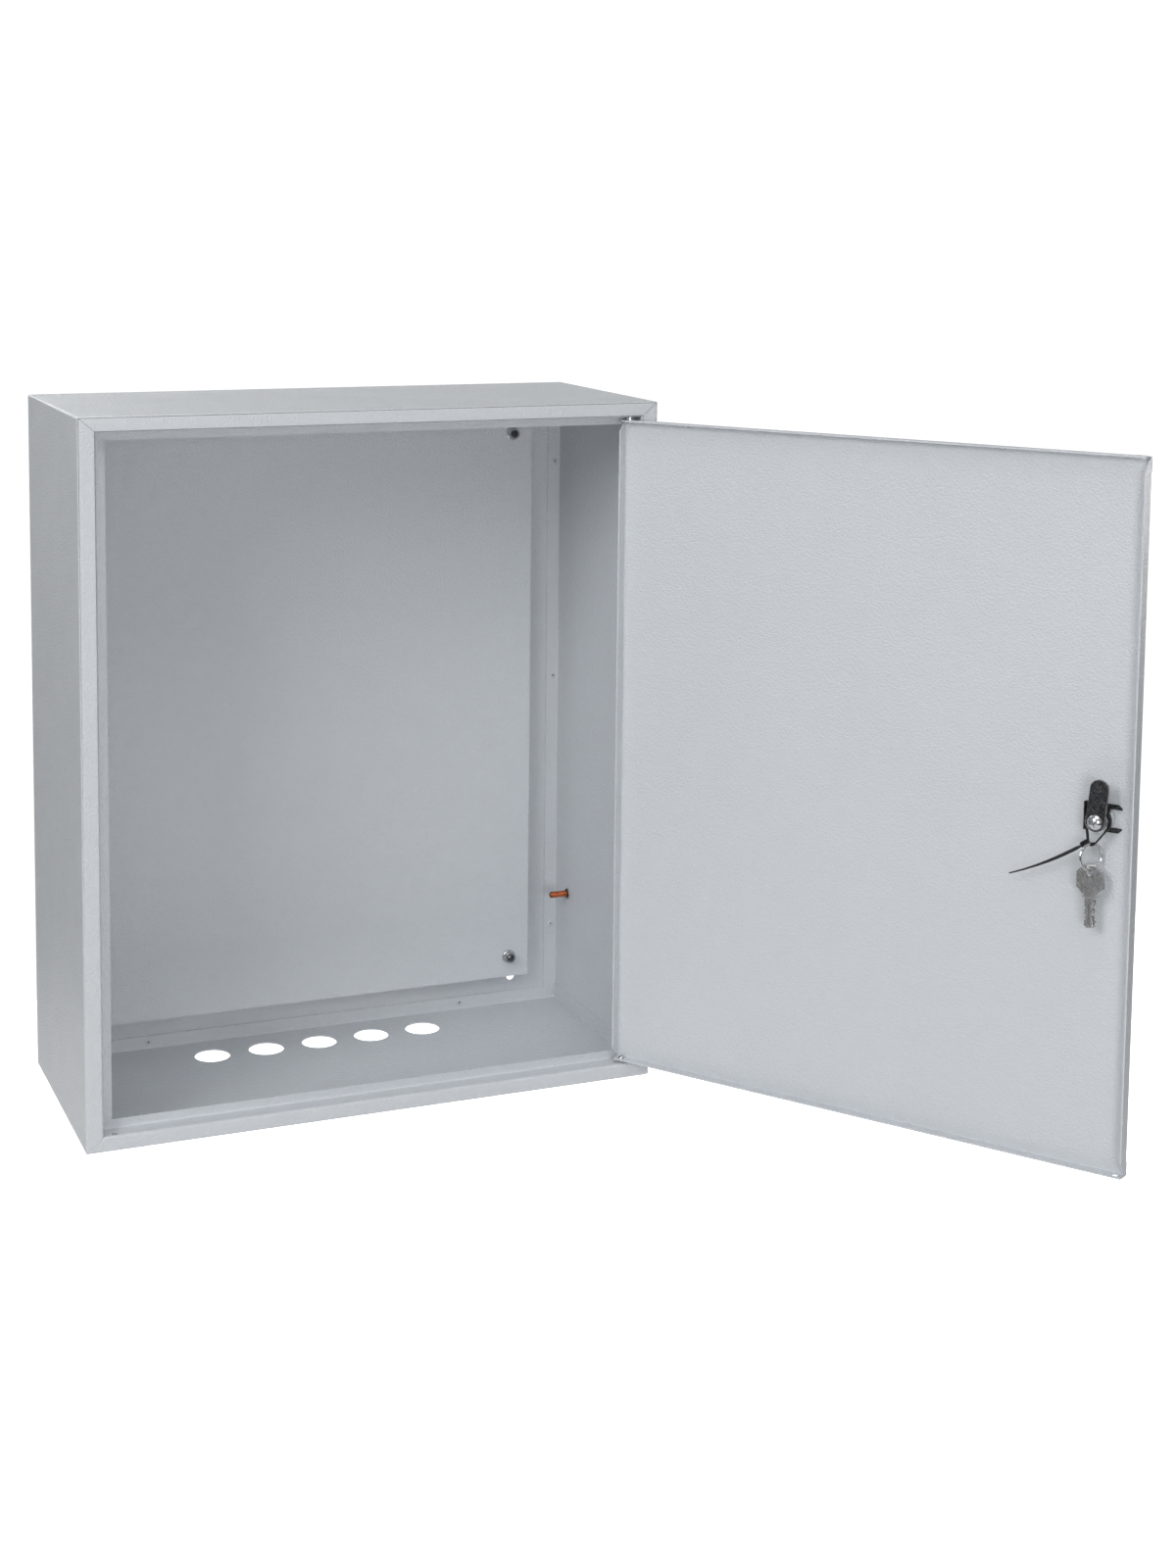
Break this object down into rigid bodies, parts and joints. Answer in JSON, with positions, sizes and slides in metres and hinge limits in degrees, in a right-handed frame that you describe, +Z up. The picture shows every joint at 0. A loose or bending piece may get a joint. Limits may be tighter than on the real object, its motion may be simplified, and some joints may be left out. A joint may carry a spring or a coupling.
{
  "type": "wall-mounted electrical enclosure",
  "caption": "Rectangular sheet-steel wall box with a mounting plate, round cable entries in its floor, an inset door standing open on pivot pins, a cam lock and keys on a ring.",
  "frame": {"origin": "middle of the four wall-fixing holes, on the back face", "axes": "+Y out of the back face, towards the wall; +Z up; +X to the right seen from the front"},
  "size_m": [0.7431, 0.5956, 0.6],
  "materials": {
    "powder_coat": "semi-gloss light grey powder coat with a fine orange-peel texture",
    "zinc_plate": "bright zinc plating",
    "dark_steel": "dark oiled spring steel",
    "chrome": "polished chrome",
    "brass": "stamped brass",
    "copper_plate": "copper-plated steel",
    "nickel_plate": "satin nickel plating",
    "black_nylon": "moulded black nylon"
  },
  "bodies": {
    "cabinet": {"shell_wrap": "powder_coat", "floor_panel": "powder_coat", "back_panel": "powder_coat", "frame_rivets": "powder_coat", "mounting_plate": "powder_coat", "plate_studs": "zinc_plate", "plate_spacers": "zinc_plate", "plate_washers": "zinc_plate", "plate_nuts": "zinc_plate", "earth_stud": "copper_plate", "earth_washer": "zinc_plate"},
    "door": {"door_panel": "powder_coat", "hinge_pin_top": "zinc_plate", "hinge_pin_bottom": "zinc_plate", "hinge_washers": "zinc_plate", "hinge_clips": "dark_steel", "lock_barrel": "chrome", "lock_clip": "dark_steel", "cable_tie": "black_nylon"},
    "lock_core": {"lock_plug": "chrome", "lock_wafers": "brass", "lock_cam": "dark_steel", "cam_washer": "zinc_plate", "cam_screw": "zinc_plate"},
    "ring": {"key_ring": "nickel_plate"},
    "front_key": {"key_front": "nickel_plate"},
    "rear_key": {"key_rear": "nickel_plate"}
  },
  "joints": [
    {"name": "door_hinge", "type": "hinge", "parent": "cabinet", "child": "door", "pos_m": [0.2257, -0.2148, 0], "axis": [0, 0, 1], "range_deg": [-125, 2]},
    {"name": "cam_turn", "type": "hinge", "parent": "door", "child": "lock_core", "pos_m": [0.477, -0.56463, 0], "axis": [0.8192, 0.5736, 0], "range_deg": [-6, 84]},
    {"name": "ring_swing", "type": "hinge", "parent": "door", "child": "ring", "pos_m": [0.46341, -0.56841, -0.0175], "axis": [-0.8192, -0.5736, 0], "range_deg": [-20, 12]},
    {"name": "front_key_swing", "type": "hinge", "parent": "ring", "child": "front_key", "pos_m": [0.46341, -0.56841, -0.0416], "axis": [-0.8192, -0.5736, 0], "range_deg": [-30, 16]},
    {"name": "rear_key_swing", "type": "hinge", "parent": "ring", "child": "rear_key", "pos_m": [0.46341, -0.56841, -0.0416], "axis": [-0.8192, -0.5736, 0], "range_deg": [-30, 16]}
  ]
}
